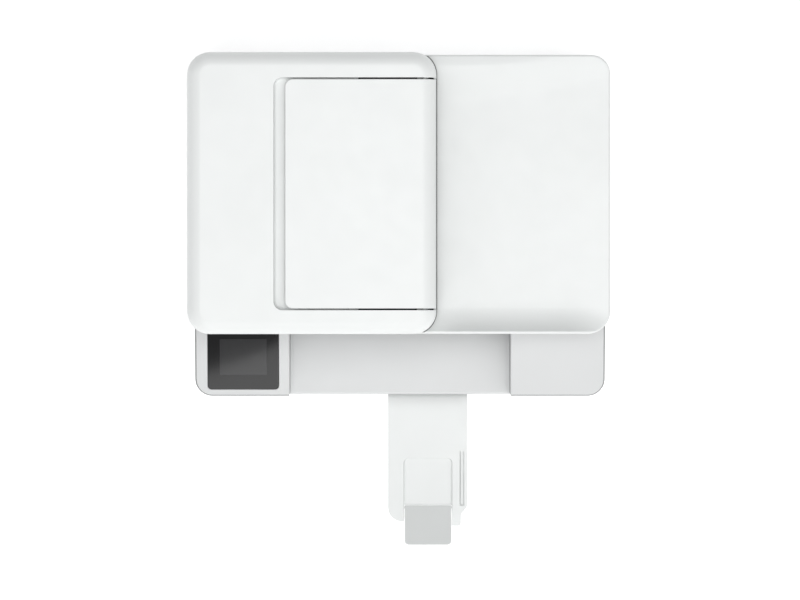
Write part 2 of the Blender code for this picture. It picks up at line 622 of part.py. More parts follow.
def make_lid(kit):
    low, high = (-LID_HALF_WIDTH, LID_FRONT, LID_BOTTOM), (LID_HALF_WIDTH, LID_BACK, LID_RIM)
    lid = kit.add(
        "lid_shell", block(low, high, corners=(LID_CORNER,) * 4, top=1.6, bottom=2, steps=5),
        "white_plastic", "lid", smooth=35)
    kit.cut(lid, block((-230, -50, LID_DECK), (FEEDER_RIGHT + 0.3, 280, 240)))
    dish = [
        (-29.6, 240), (-29.6, 224.5), (-26, 219.6), (-20, 216.6), (-10, 214.8), (2, 214.3), (214, 214.3),
        (224, 215.6), (236, 219), (246, 221.4), (252, 221.8), (256, 220), (258, 216), (262, 212), (262, 240),
    ]
    kit.cut(lid, prism(dish, "X", FEEDER_RIGHT - 2, 230))
    kit.cut(lid, block((-200, -16, 200), (200, 238, 211.3)))
    for x in (-160, 160):
        kit.cut(lid, block((x - 8.5, 243.5, 200), (x + 8.5, 262, 214.6)))
        kit.join(lid, rod((x, *LID_AXIS[1:]), "X", 2, 22))
    backing = block((-156, 0, LID_BOTTOM + 0.1), (156, 224, 211))
    kit.add("lid_backing", backing, "white_foam", "lid")


def make_feeder_base(kit):
    """The feeder's lower case, with the side plates and the ramp that the originals lie on."""
    low = (-LID_HALF_WIDTH, LID_FRONT, FEEDER_BOTTOM)
    high = (FEEDER_RIGHT, LID_BACK, FEEDER_SEAM)
    base = kit.add("feeder_base", block(low, high, corners=(LID_CORNER,) * 4, steps=5), "white_plastic", "lid", smooth=35)
    inner = LID_CORNER - WALL
    low = (-LID_HALF_WIDTH + WALL, LID_FRONT + WALL, FEEDER_BOTTOM + WALL)
    high = (FEEDER_RIGHT - WALL, LID_BACK - WALL, 250)
    kit.cut(base, block(low, high, corners=(inner,) * 4, steps=5))
    kit.cut(base, block((30, FLAP_FRONT - 0.5, FEEDER_BOTTOM + WALL), (50, FLAP_BACK + 0.5, 250)))
    ramp = [(-45, 240.3), (34, 248.4), (34, 251.4), (-45, 243.3)]
    kit.join(base, prism(ramp, "Y", -8, 232))
    for low_y, high_y in ((-10, -6.6), (230.9, 234.3)):
        plate = [(-90, 219), (34, 219), (34, 256.5), (-90, 256.5)]
        kit.join(base, prism(plate, "Y", low_y, high_y))
    kit.join(base, block((-90, 88, 219), (-60, 136, 240.6)))
    kit.cut(base, rod(FEEDER_PICK_AXIS, "Y", 3.5, 290))
    profile = [(121.5, 0), (121.5, 3), (20, 3), (20, 9.5), (-20, 9.5), (-20, 3), (-121.5, 3), (-121.5, 0)]
    kit.turned("feeder_pick_roller", profile, "Y", "rubber", "feeder_pick")


def make_sheet_guides(kit):
    """Two guides that close on the originals together, leaning with the ramp."""
    lean = Matrix.Translation((-15, 0, 246.9)) @ Matrix.Rotation(-math.atan2(8.1, 79), 4, "Y")
    for name, side in (("front_sheet_guide", -1), ("rear_sheet_guide", 1)):
        inner = SHEET_MIDDLE + side * (SHEET_WIDTH / 2 + 0.4)
        outer = inner + side * 2.4
        foot = inner - side * 18
        wall_ys, foot_ys = sorted((inner, outer)), sorted((inner + side, foot))
        guide = kit.add(
            name, moved(block((-22, wall_ys[0], 0), (20, wall_ys[1], 16)), lean), "light_grey_plastic", name)
        kit.join(guide, moved(block((-16, foot_ys[0], 0), (14, foot_ys[1], 1.6)), lean))


def make_feeder_cover(kit):
    """The feeder's pillow-shaped cover. A pocket in its top takes the flap, with a finger groove
    on the left and an opening on the right that leads to the ramp."""
    corner, brow = LID_CORNER, 14
    low = (-LID_HALF_WIDTH, LID_FRONT, FEEDER_SEAM + 0.4)
    high = (FEEDER_RIGHT, LID_BACK, HEIGHT)
    cover = kit.add(
        "feeder_cover", block(low, high, corners=(corner,) * 4, top=brow, steps=5),
        "white_plastic", "feeder_cover", smooth=35)
    low = (-LID_HALF_WIDTH + WALL, LID_FRONT + WALL, 220)
    high = (FEEDER_RIGHT - WALL, LID_BACK - WALL, HEIGHT - WALL)
    kit.cut(cover, block(low, high, corners=(corner - WALL,) * 4, top=brow - WALL, steps=5))
    front, back = FLAP_FRONT - 0.5, FLAP_BACK + 0.5
    groove, mouth, floor = -129.8, -43, 269
    kit.join(cover, block((groove - WALL, front - WALL, floor - 2.6), (mouth, back + WALL, 276.6)))
    kit.cut(cover, block((groove, front, floor), (mouth + 2, back, 290), corners=(9, 0, 0, 9)))
    kit.cut(cover, block((mouth, front, 225), (50, back, 290)))
    for low_y, high_y in ((front - 6, front - 0.1), (back + 0.1, back + 6)):
        kit.join(cover, block((18, low_y, 258), (30, high_y, 275)))
    kit.cut(cover, rod(FLAP_AXIS, "Y", 2.5, back - front + 9))


def make_feeder_flap(kit):
    """The flap that covers the feeder's input and swings over to the right as its tray."""
    brow, thick = 14, 3
    centre = (FEEDER_RIGHT - brow, HEIGHT - brow)
    outline = [
        (-118, HEIGHT - thick), (-118, HEIGHT - 1), (-117, HEIGHT), *arc(centre, brow, 90, 8, 5),
        *arc(centre, brow - thick, 8, 90, 5),
    ]
    flap = kit.add("feeder_flap", prism(outline, "Y", FLAP_FRONT, FLAP_BACK), "white_plastic", "feeder_flap", smooth=35)
    for x, y in ((-118, FLAP_FRONT), (-118, FLAP_BACK)):
        inward = 1 if y == FLAP_FRONT else -1
        fillet = [(x - 1, y - inward), (x + 8, y - inward), *arc((x + 8, y + 8 * inward), 8, -90 * inward, -180 * inward, 4), (x - 1, y + 8 * inward)]
        kit.cut(flap, prism(fillet, "Z", 260, 290))
    x, _, z = FLAP_AXIS
    for end, inward in ((FLAP_FRONT, 1), (FLAP_BACK, -1)):
        ys = sorted((end, end + 3 * inward))
        kit.join(flap, block((x - 4, ys[0], z - 3.5), (x + 4, ys[1], 276)))
        kit.join(flap, rod((x, end - 0.8 * inward, z), "Y", 2, 7.4))


def main():
    clear_scene()
    kit = Assembly()
    make_pan_and_feet(kit)
    pods = {side: make_pod(kit, side) for side in (-1, 1)}
    caps = {side: make_pod_cap(kit, side) for side in (-1, 1)}
    for side in (-1, 1):
        make_side_cover(kit, side)
    make_control_panel(kit, pods[-1], caps[-1])
    make_rear_cover(kit)
    make_output_bed(kit)
    make_extension(kit)
    make_ink_door(kit)
    make_paper_tray(kit)
    make_print_mechanism(kit)
    make_carriage(kit)
    make_electronics(kit)
    make_scanner(kit)
    make_lid(kit)
    make_feeder_base(kit)
    make_sheet_guides(kit)
    make_feeder_cover(kit)
    make_feeder_flap(kit)


main()
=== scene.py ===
"""The look of a desktop all-in-one inkjet printer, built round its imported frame.

Shapes are worked out in millimetres in the frame's own axes (X right, Y back, Z up) and are turned
to metres when a mesh is made. Each piece rides on the moving body that it belongs to.
"""

import json
import math

import bmesh
import bpy
from bpy.props import FloatProperty, FloatVectorProperty, PointerProperty
from mathutils import Matrix, Quaternion, Vector


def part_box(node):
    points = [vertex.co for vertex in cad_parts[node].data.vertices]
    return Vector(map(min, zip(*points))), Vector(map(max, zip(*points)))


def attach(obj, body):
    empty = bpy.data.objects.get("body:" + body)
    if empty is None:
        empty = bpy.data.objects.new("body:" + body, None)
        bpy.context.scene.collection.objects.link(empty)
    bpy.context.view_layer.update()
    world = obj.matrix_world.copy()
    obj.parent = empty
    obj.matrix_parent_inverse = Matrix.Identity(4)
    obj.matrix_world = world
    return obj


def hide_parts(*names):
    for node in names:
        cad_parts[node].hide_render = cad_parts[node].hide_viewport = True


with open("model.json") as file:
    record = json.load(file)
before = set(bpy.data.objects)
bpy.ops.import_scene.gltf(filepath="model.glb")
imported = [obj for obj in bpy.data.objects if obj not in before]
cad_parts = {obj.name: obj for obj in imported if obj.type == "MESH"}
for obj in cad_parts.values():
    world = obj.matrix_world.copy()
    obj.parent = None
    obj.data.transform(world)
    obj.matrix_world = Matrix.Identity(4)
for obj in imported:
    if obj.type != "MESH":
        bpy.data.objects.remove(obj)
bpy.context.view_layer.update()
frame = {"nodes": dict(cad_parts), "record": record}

bl_info = {
    "name": "Inkjet Printer Looks",
    "version": (1, 0, 0),
    "blender": (4, 5, 0),
    "location": "3D View > Sidebar > Printer",
    "description": "Builds the shells, trims, finishes and studio of a desktop inkjet printer",
    "category": "Object",
}

MM = 0.001
WALL = 2.5                     # moulded wall of the shells
CORNER = 24                    # plan radius of the lid and the sheet feeder
DECK = 217.7                   # top of the lid under the sheet feeder


def corners_mm(node):
    """A CAD node's lowest and highest corner, in millimetres."""
    low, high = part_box(node)
    return low / MM, high / MM


COVER_LOW, COVER_HIGH = corners_mm("feeder_cover")
LID_LOW, LID_HIGH = corners_mm("lid_shell")
POD_LOW, POD_HIGH = corners_mm("right_pod_cap")
TONGUE_LOW, TONGUE_HIGH = corners_mm("extension_tongue")

FEEDER_RIGHT = COVER_HIGH.x
FLAP_LEFT = corners_mm("feeder_flap")[0].x
FLAP_FRONT, FLAP_BACK = -5.6, 229.9   # between the flap's two pinned ears
FLAP_PIN = Vector((25, 0, 265.5))
STOP_PIN = Vector((30, -219.5, 92.8))
LID_PIN = Vector((0, 251.5, 208.5))

POD_BACK, POD_FRONT = -16, -97.5
POD_TOP_BACK, POD_DROP = 160.5, 10.5
POD_SLOPE = math.atan2(POD_DROP, POD_BACK - POD_FRONT)
POD_LENGTH = (POD_BACK - POD_FRONT) / math.cos(POD_SLOPE)
POD_PLANE = Matrix.Translation((0, POD_BACK, POD_TOP_BACK)) @ Matrix.Rotation(POD_SLOPE, 4, "X")


# ---------------------------------------------------------------- settings

class ShellSettings(bpy.types.PropertyGroup):
    brow: FloatProperty(
        name="Brow", description="Radius of the sheet feeder's top edges, mm", default=15, min=6, max=20)
    slit: FloatProperty(
        name="Slit", description="Gap at each end of the feeder's flap, mm", default=1.7, min=0.5, max=2)
    dish_depth: FloatProperty(
        name="Dish depth", description="Fall from the lid's front lip to its floor, mm",
        default=14.6, min=4, max=14.8)
    edge: FloatProperty(
        name="Edge radius", description="Radius of the moulded edges, mm", default=0.4, min=0.1, max=1)


def colour_property(name, description, code):
    return FloatVectorProperty(
        name=name, description=description, subtype="COLOR", size=3, min=0, max=1, default=linear(code))


def linear(code):
    """A six-digit sRGB hex colour as linear red, green and blue."""
    parts = (int(code[i:i + 2], 16) / 255 for i in (0, 2, 4))
    return tuple(c / 12.92 if c <= 0.04045 else ((c + 0.055) / 1.055) ** 2.4 for c in parts)


class FinishSettings(bpy.types.PropertyGroup):
    # The extension takes a darker copy of this white, as painted shade.
    white: colour_property("White", "Moulded ABS of the lid, feeder and extension", "E9EBEA")
    light_grey: colour_property("Light grey", "Moulded ABS of the body and pods", "D3D4D4")
    bed_grey: colour_property("Bed grey", "Moulded ABS of the bed between the pods", "D9DADA")
    grey: colour_property("Grey", "Moulded ABS of the tray and the paper stop", "DDDFDE")
    black: colour_property("Black", "Moulded plastic inside the machine", "1C1C1E")


class StudioSettings(bpy.types.PropertyGroup):
    key: FloatProperty(
        name="Key", description="Power of the softbox in front, W", default=41, min=0, max=200)
    overhead: FloatProperty(
        name="Overhead", description="Power of the softbox above, W", default=22.5, min=0, max=200)
    sides: FloatProperty(
        name="Sides", description="Power of the low softboxes in front and at the sides, W",
        default=7, min=0, max=100)
    fill: FloatProperty(
        name="Fill", description="Brightness of the white room", default=0.37, min=0, max=2)
    camera_height: FloatProperty(
        name="Camera height", description="Camera above the table",
        default=4.3, min=1, max=10, unit="LENGTH")


# ---------------------------------------------------------------- shapes, in millimetres

def bevel(bm, edges, radius, steps):
    bmesh.ops.bevel(
        bm, geom=edges, offset=radius, offset_type="OFFSET", segments=steps,
        profile=0.5, affect="EDGES", clamp_overlap=True, material=-1,
    )


def standing_edge(bm, x, y):
    """The edge of a block that stands at x, y."""
    return next(
        edge for edge in bm.edges
        if all(abs(v.co.x - x) < 1e-3 and abs(v.co.y - y) < 1e-3 for v in edge.verts)
    )


def block(low, high, corners=(0, 0, 0, 0), top=0, bottom=0, steps=8):
    """A box whose standing edges are rounded by corners, anticlockwise from low x, low y."""
    low, high = Vector(low), Vector(high)
    bm = bmesh.new()
    place = Matrix.Translation((low + high) / 2) @ Matrix.Diagonal((*(high - low), 1))
    bmesh.ops.create_cube(bm, size=1, matrix=place)
    for radius, x, y in zip(corners, (low.x, high.x, high.x, low.x), (low.y, low.y, high.y, high.y)):
        if radius:
            bevel(bm, [standing_edge(bm, x, y)], radius, steps)
    for radius, level in ((top, high.z), (bottom, low.z)):
        if radius:
            face = next(f for f in bm.faces if all(abs(v.co.z - level) < 1e-3 for v in f.verts))
            bevel(bm, list(face.edges), radius, max(2, steps - 2))
    return bm


def rod(middle, axis, radius, length, sides=32, edge=0):
    """A cylinder along X, Y or Z, with its two rims rounded by edge."""
    turn = {"X": Matrix.Rotation(math.pi / 2, 4, "Y"), "Y": Matrix.Rotation(math.pi / 2, 4, "X"),
            "Z": Matrix.Identity(4)}[axis]
    bm = bmesh.new()
    bmesh.ops.create_cone(bm, cap_ends=True, segments=sides, radius1=radius, radius2=radius, depth=length)
    if edge:
        rims = [e for e in bm.edges if abs(e.verts[0].co.z - e.verts[1].co.z) < 1e-4]
        bevel(bm, rims, edge, 3)
    return moved(bm, Matrix.Translation(middle) @ turn)


def arc(centre, radius, start, end, steps):
    angles = [math.radians(start + (end - start) * i / steps) for i in range(steps + 1)]
    return [(centre[0] + radius * math.cos(a), centre[1] + radius * math.sin(a)) for a in angles]


def prism(outline, axis, start, end):
    """A flat outline pulled along an axis: (x, y) points for Z, (y, z) for X and (x, z) for Y."""
    places = {
        "X": lambda u, v: (start, u, v), "Y": lambda u, v: (u, start, v), "Z": lambda u, v: (u, v, start)}
    bm = bmesh.new()
    face = bm.faces.new([bm.verts.new(places[axis](u, v)) for u, v in outline])
    shift = {"X": (end - start, 0, 0), "Y": (0, end - start, 0), "Z": (0, 0, end - start)}[axis]
    return pulled(bm, [face], shift)


def pulled(bm, faces, shift):
    """Makes open faces a solid by pulling a copy of them by shift."""
    result = bmesh.ops.extrude_face_region(bm, geom=faces, use_keep_orig=True)
    far = [v for v in result["geom"] if isinstance(v, bmesh.types.BMVert)]
    bmesh.ops.translate(bm, vec=shift, verts=far)
    bmesh.ops.recalc_face_normals(bm, faces=bm.faces)
    return bm


def moved(bm, matrix):
    bmesh.ops.transform(bm, matrix=matrix, verts=bm.verts)
    return bm


def node_shape(node):
    """A CAD node's shape in millimetres, with its loose triangles merged and its flats made whole."""
    bm = bmesh.new()
    bm.from_mesh(frame["nodes"][node].data)
    bmesh.ops.scale(bm, vec=(1 / MM,) * 3, verts=bm.verts)
    bmesh.ops.remove_doubles(bm, verts=bm.verts, dist=0.002)
    bmesh.ops.dissolve_limit(bm, angle_limit=math.radians(0.5), verts=bm.verts, edges=bm.edges)
    return bm


def combine(base, cuts=(), joins=()):
    """base with the shapes in joins added and then those in cuts taken away."""
    body = temporary(base)
    tools = []
    for operation, shapes in (("UNION", joins), ("DIFFERENCE", cuts)):
        for shape in shapes:
            tools.append(temporary(shape))
            modifier = body.modifiers.new(operation, "BOOLEAN")
            modifier.operation = operation
            modifier.object = tools[-1]
    bm = evaluated(body)
    for obj in (body, *tools):
        remove(obj)
    return bm


def rounded(bm, width, steps=2, angle=35):
    """Rounds a shape's sharp edges."""
    body = temporary(bm)
    modifier = body.modifiers.new("edges", "BEVEL")
    modifier.width = width
    modifier.segments = steps
    modifier.limit_method = "ANGLE"
    modifier.angle_limit = math.radians(angle)
    modifier.use_clamp_overlap = False
    modifier.miter_outer = "MITER_ARC"
    result = evaluated(body)
    remove(body)
    return result


def temporary(bm):
    mesh = bpy.data.meshes.new("shape")
    bm.to_mesh(mesh)
    bm.free()
    obj = bpy.data.objects.new("shape", mesh)
    bpy.context.scene.collection.objects.link(obj)
    return obj


def evaluated(obj):
    bpy.context.view_layer.update()
    bm = bmesh.new()
    bm.from_object(obj, bpy.context.evaluated_depsgraph_get())
    return bm


def remove(obj):
    mesh = obj.data
    bpy.data.objects.remove(obj)
    bpy.data.meshes.remove(mesh)


def piece(name, bm, body, material, replaces=(), smooth=35):
    """Makes the finished piece: metres, smooth shading, its finish, and the body that it rides on."""
    bmesh.ops.scale(bm, vec=(MM, MM, MM), verts=bm.verts)
    mesh = bpy.data.meshes.new(name)
    bm.to_mesh(mesh)
    bm.free()
    mesh.shade_smooth()
    mesh.set_sharp_from_angle(angle=math.radians(smooth))
    obj = bpy.data.objects.new(name, mesh)
    bpy.context.scene.collection.objects.link(obj)
    normals = obj.modifiers.new("even_flats", "WEIGHTED_NORMAL")
    normals.keep_sharp = True
    mesh.materials.append(bpy.data.materials[material])
    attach(obj, body)
    if replaces:
        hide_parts(*replaces)
    return obj


# ---------------------------------------------------------------- finishes

def feed(tree, node, inputs):
    """Fills a node's inputs, each with a value or with another node's output to link."""
    for name, value in inputs.items():
        if isinstance(value, bpy.types.NodeSocket):
            tree.links.new(value, node.inputs[name])
        else:
            node.inputs[name].default_value = value


def add(tree, kind, inputs, **settings):
    """Adds a node, with its settings and its inputs."""
    node = tree.nodes.new(kind)
    for name, value in settings.items():
        setattr(node, name, value)
    feed(tree, node, inputs)
    return node


def new_material(name):
    """A material with an empty tree. Returns its tree, its shader and its object coordinates."""
    material = bpy.data.materials.new(name)
    material.use_nodes = True
    tree = material.node_tree
    shader = tree.nodes["Principled BSDF"]
    coordinates = tree.nodes.new("ShaderNodeTexCoord").outputs["Object"]
    return tree, shader, coordinates


def varied(tree, coordinates, scale, low, high, detail=2):
    """A number that drifts between low and high over the surface, scale times a metre."""
    noise = add(tree, "ShaderNodeTexNoise", {"Vector": coordinates, "Scale": scale, "Detail": detail})
    spread = add(tree, "ShaderNodeMapRange", {
        "Value": noise.outputs["Fac"], "From Min": 0.3, "From Max": 0.7, "To Min": low, "To Max": high})
    return spread.outputs["Result"]


def speckle(tree, coordinates, size_mm, detail):
    """Noise whose grains are about size_mm wide."""
    noise = add(tree, "ShaderNodeTexNoise", {
        "Vector": coordinates, "Scale": 1000 / size_mm, "Detail": detail})
    return noise.outputs["Fac"]


def relief(tree, height, strength, depth_mm):
    bump = add(tree, "ShaderNodeBump", {"Height": height, "Strength": strength, "Distance": depth_mm * MM})
    return bump.outputs["Normal"]


def tinted(tree, factor, first, second):
    mix = add(tree, "ShaderNodeMix", {"Factor": factor}, data_type="RGBA")
    mix.inputs["A"].default_value = (*first, 1)
    mix.inputs["B"].default_value = (*second, 1)
    return mix.outputs["Result"]


def shade(colour, share):
    return tuple(c * share for c in colour)


def moulded(name, colour, roughness, grain_mm=1.6, depth_mm=0.05):
    """Injection-moulded plastic. Its tool was spark-eroded, so the skin has a fine even grain that
    softens highlights; the grain is drawn coarser than the real 0.1 mm so that it shows."""
    tree, shader, coordinates = new_material(name)
    drift = varied(tree, coordinates, 9, 0, 1)
    feed(tree, shader, {
        "Base Color": tinted(tree, drift, shade(colour, 0.985), shade(colour, 1.01)),
        "Roughness": varied(tree, coordinates, 60, roughness - 0.03, roughness + 0.03),
        "Normal": relief(tree, speckle(tree, coordinates, grain_mm, 3), 0.35, depth_mm),
        "IOR": 1.54,
    })


def cover_glass():
    """Chemically strengthened cover glass printed black behind: deep, with a clean hard gloss."""
    tree, shader, coordinates = new_material("strengthened_glass_black")
    smudge = varied(tree, coordinates, 30, 0, 1)
    feed(tree, shader, {
        "Base Color": tinted(tree, smudge, linear("0A0A0B"), linear("0C0C0D")),
        "Roughness": varied(tree, coordinates, 25, 0.045, 0.055),
        "IOR": 1.5,
    })


def display_panel():
    """Liquid crystal panel at rest behind the glass: a slightly paler, bluish-neutral black with
    a grid of cells; the real 0.1 mm cells are drawn 0.5 mm wide so that they show."""
    tree, shader, coordinates = new_material("liquid_crystal_panel")
    cells = add(tree, "ShaderNodeTexChecker", {"Vector": coordinates, "Scale": 1000 / 0.5})
    feed(tree, shader, {
        "Base Color": tinted(tree, cells.outputs["Fac"], linear("2C2C2D"), linear("303031")),
        "Roughness": varied(tree, coordinates, 25, 0.045, 0.055),
        "IOR": 1.5,
    })


def float_glass():
    """Soda-lime float glass: clear, with a faint green that shows at the edges."""
    tree, shader, coordinates = new_material("float_glass_clear")
    feed(tree, shader, {
        "Base Color": (*linear("E4F1EC"), 1),
        "Roughness": varied(tree, coordinates, 12, 0.01, 0.03),
        "IOR": 1.52,
        "Transmission Weight": 0.9,
    })


def rubber(name, code, tooth_mm):
    """Vulcanised rubber, ground or moulded: dull, with a fine tooth that carries dust."""
    tree, shader, coordinates = new_material(name)
    dust = varied(tree, coordinates, 45, 0, 1, detail=5)
    feed(tree, shader, {
        "Base Color": tinted(tree, dust, linear(code), shade(linear(code), 1.5)),
        "Roughness": varied(tree, coordinates, 200, 0.72, 0.86),
        "Normal": relief(tree, speckle(tree, coordinates, tooth_mm, 4), 0.5, 0.08),
        "IOR": 1.5,
    })


def drawn_steel():
    """Cold-drawn and polished steel rod: fine lines along its length."""
    tree, shader, coordinates = new_material("drawn_steel_polished")
    mapping = add(tree, "ShaderNodeMapping", {"Vector": coordinates, "Scale": (4, 900, 900)})
    stretched = mapping.outputs["Vector"]
    lines = add(tree, "ShaderNodeTexNoise", {"Vector": stretched, "Scale": 1, "Detail": 3})
    feed(tree, shader, {
        "Base Color": tinted(tree, lines.outputs["Fac"], linear("9EA1A3"), linear("C3C6C8")),
        "Roughness": varied(tree, stretched, 1, 0.2, 0.32),
        "Metallic": 1,
    })


def galvanised_steel():
    """Hot-dip galvanised sheet steel, pressed: a soft spangle of crystals a few millimetres wide."""
    tree, shader, coordinates = new_material("galvanised_sheet_steel")
    spangle = add(tree, "ShaderNodeTexVoronoi", {"Vector": coordinates, "Scale": 140}, feature="F1")
    crystal = add(tree, "ShaderNodeSeparateColor", {"Color": spangle.outputs["Color"]})
    rough = add(tree, "ShaderNodeMapRange", {
        "Value": crystal.outputs["Green"], "To Min": 0.3, "To Max": 0.5})
    feed(tree, shader, {
        "Base Color": tinted(tree, crystal.outputs["Red"], linear("8F9294"), linear("B2B5B6")),
        "Roughness": rough.outputs["Result"],
        "Metallic": 1,
    })


def circuit_board():
    """Glass-epoxy board under green solder mask: tinned pads in rows that catch the light."""
    tree, shader, coordinates = new_material("solder_mask_green")
    pads = add(tree, "ShaderNodeTexBrick", {
        "Vector": coordinates, "Scale": 120, "Mortar Size": 0.012, "Brick Width": 0.6, "Row Height": 0.3,
        "Color1": (*linear("0E5A33"), 1), "Color2": (*linear("126A3C"), 1),
        "Mortar": (*linear("C9CCCB"), 1)})
    feed(tree, shader, {
        "Base Color": pads.outputs["Color"],
        "Roughness": varied(tree, coordinates, 300, 0.28, 0.42),
    })


def backing_foam():
    """Polyurethane foam faced with white polyester film: flat, bright, softly dimpled."""
    tree, shader, coordinates = new_material("polyester_faced_foam")
    drift = varied(tree, coordinates, 30, 0, 1)
    cells = add(tree, "ShaderNodeTexVoronoi", {"Vector": coordinates, "Scale": 500})
    feed(tree, shader, {
        "Base Color": tinted(tree, drift, linear("ECECEA"), linear("F2F2F0")),
        "Roughness": varied(tree, coordinates, 80, 0.5, 0.62),
        "Normal": relief(tree, cells.outputs["Distance"], 0.2, 0.2),
    })


def toothed_belt():
    """Neoprene timing belt: moulded teeth across its width every two millimetres."""
    tree, shader, coordinates = new_material("neoprene_timing_belt")
    teeth = add(tree, "ShaderNodeTexWave", {"Vector": coordinates, "Scale": 80}, bands_direction="X")
    feed(tree, shader, {
        "Base Color": tinted(tree, teeth.outputs["Fac"], linear("141416"), linear("26262A")),
        "Roughness": varied(tree, coordinates, 200, 0.6, 0.75),
        "Normal": relief(tree, teeth.outputs["Fac"], 0.8, 0.6),
    })


def studio_floor():
    """Opal acrylic table top, lit softly from below, so that it is nearly white and takes only a
    faint shadow."""
    tree, shader, coordinates = new_material("opal_acrylic_table")
    drift = varied(tree, coordinates, 3, 0, 1)
    feed(tree, shader, {
        "Base Color": tinted(tree, drift, linear("F7F7F7"), linear("FAFAFA")),
        "Roughness": 0.9,
        "Emission Color": (1, 1, 1, 1),
        "Emission Strength": 0.42,
    })


# ---------------------------------------------------------------- operators

class PRINTER_OT_finishes(bpy.types.Operator):
    """Make every finish and put it on the CAD pieces that stay in view"""

    bl_idname = "printer.finishes"
    bl_label = "Finishes"

    def execute(self, context):
        colours = context.scene.printer_finish
        moulded("moulded_abs_white", tuple(colours.white), 0.4)
        moulded("moulded_abs_light_grey", tuple(colours.light_grey), 0.42)
        moulded("moulded_abs_bed_grey", tuple(colours.bed_grey), 0.42)
        # A darker copy of the white for the extension, as painted shade: darkened because the low front
        # softbox lights it more.
        moulded("moulded_abs_white_shaded_copy", linear("E1E3E2"), 0.4)
        moulded("moulded_abs_grey", tuple(colours.grey), 0.42)
        # Mid-grey for the strips that stand in for shadow lines along edges: painted shadow.
        moulded("mid_grey_painted_shadow", linear("6C6E6D"), 0.45)
        moulded("moulded_polycarbonate_black", tuple(colours.black), 0.38, grain_mm=0.9)
        moulded("moulded_polystyrene_cyan", linear("0091C8"), 0.3, depth_mm=0.01)
        moulded("moulded_polystyrene_magenta", linear("C1177A"), 0.3, depth_mm=0.01)
        moulded("moulded_polystyrene_yellow", linear("E8C50C"), 0.3, depth_mm=0.01)
        cover_glass()
        display_panel()
        float_glass()
        rubber("vulcanised_rubber_foot", "2B2B2D", 0.6)
        rubber("ground_rubber_roller", "3A3A3D", 0.4)
        drawn_steel()
        galvanised_steel()
        circuit_board()
        backing_foam()
        toothed_belt()
        studio_floor()
        for material, nodes in NODE_FINISHES.items():
            for node in nodes:
                mesh = frame["nodes"][node].data
                mesh.materials.clear()
                mesh.materials.append(bpy.data.materials[material])
        return {"FINISHED"}


NODE_FINISHES = {
    "moulded_abs_white": (
        "scanner_frame", "lid_shell", "feeder_base", "feeder_cover", "feeder_flap"),
    "moulded_abs_white_shaded_copy": ("extension_tongue",),
    "moulded_abs_bed_grey": ("output_bed",),
    "moulded_abs_light_grey": (
        "left_side_cover", "right_side_cover", "left_pod", "right_pod", "control_panel_bezel",
        "right_pod_cap", "rear_cover", "scanner_tray", "left_lid_hinge", "right_lid_hinge",
        "front_sheet_guide", "rear_sheet_guide", "ink_door", "tray_front", "power_button", "rear_door"),
    "moulded_abs_grey": (
        "base_pan", "tray_body", "left_width_guide", "right_width_guide", "length_guide", "paper_stop"),
    "moulded_polycarbonate_black": (
        "usb_host_port", "network_port", "usb_device_port", "power_inlet", "platen", "service_station",
        "power_supply", "scan_bar", "carriage_body", "black_ink", "pick_arm"),
    "moulded_polystyrene_cyan": ("cyan_ink",),
    "moulded_polystyrene_magenta": ("magenta_ink",),
    "moulded_polystyrene_yellow": ("yellow_ink",),
    "strengthened_glass_black": ("display_glass",),
    "float_glass_clear": ("scanner_glass",),
    "vulcanised_rubber_foot": (
        "foot_front_left", "foot_front_right", "foot_rear_left", "foot_rear_right"),
    "ground_rubber_roller": (
        "feeder_pick_roller", "pick_roller", "feed_roller", "exit_roller", "turn_drum"),
    "drawn_steel_polished": ("guide_rod", "carriage_motor"),
    "galvanised_sheet_steel": ("carriage_beam",),
    "solder_mask_green": ("logic_board",),
    "polyester_faced_foam": ("lid_backing",),
    "neoprene_timing_belt": ("drive_belt",),
}


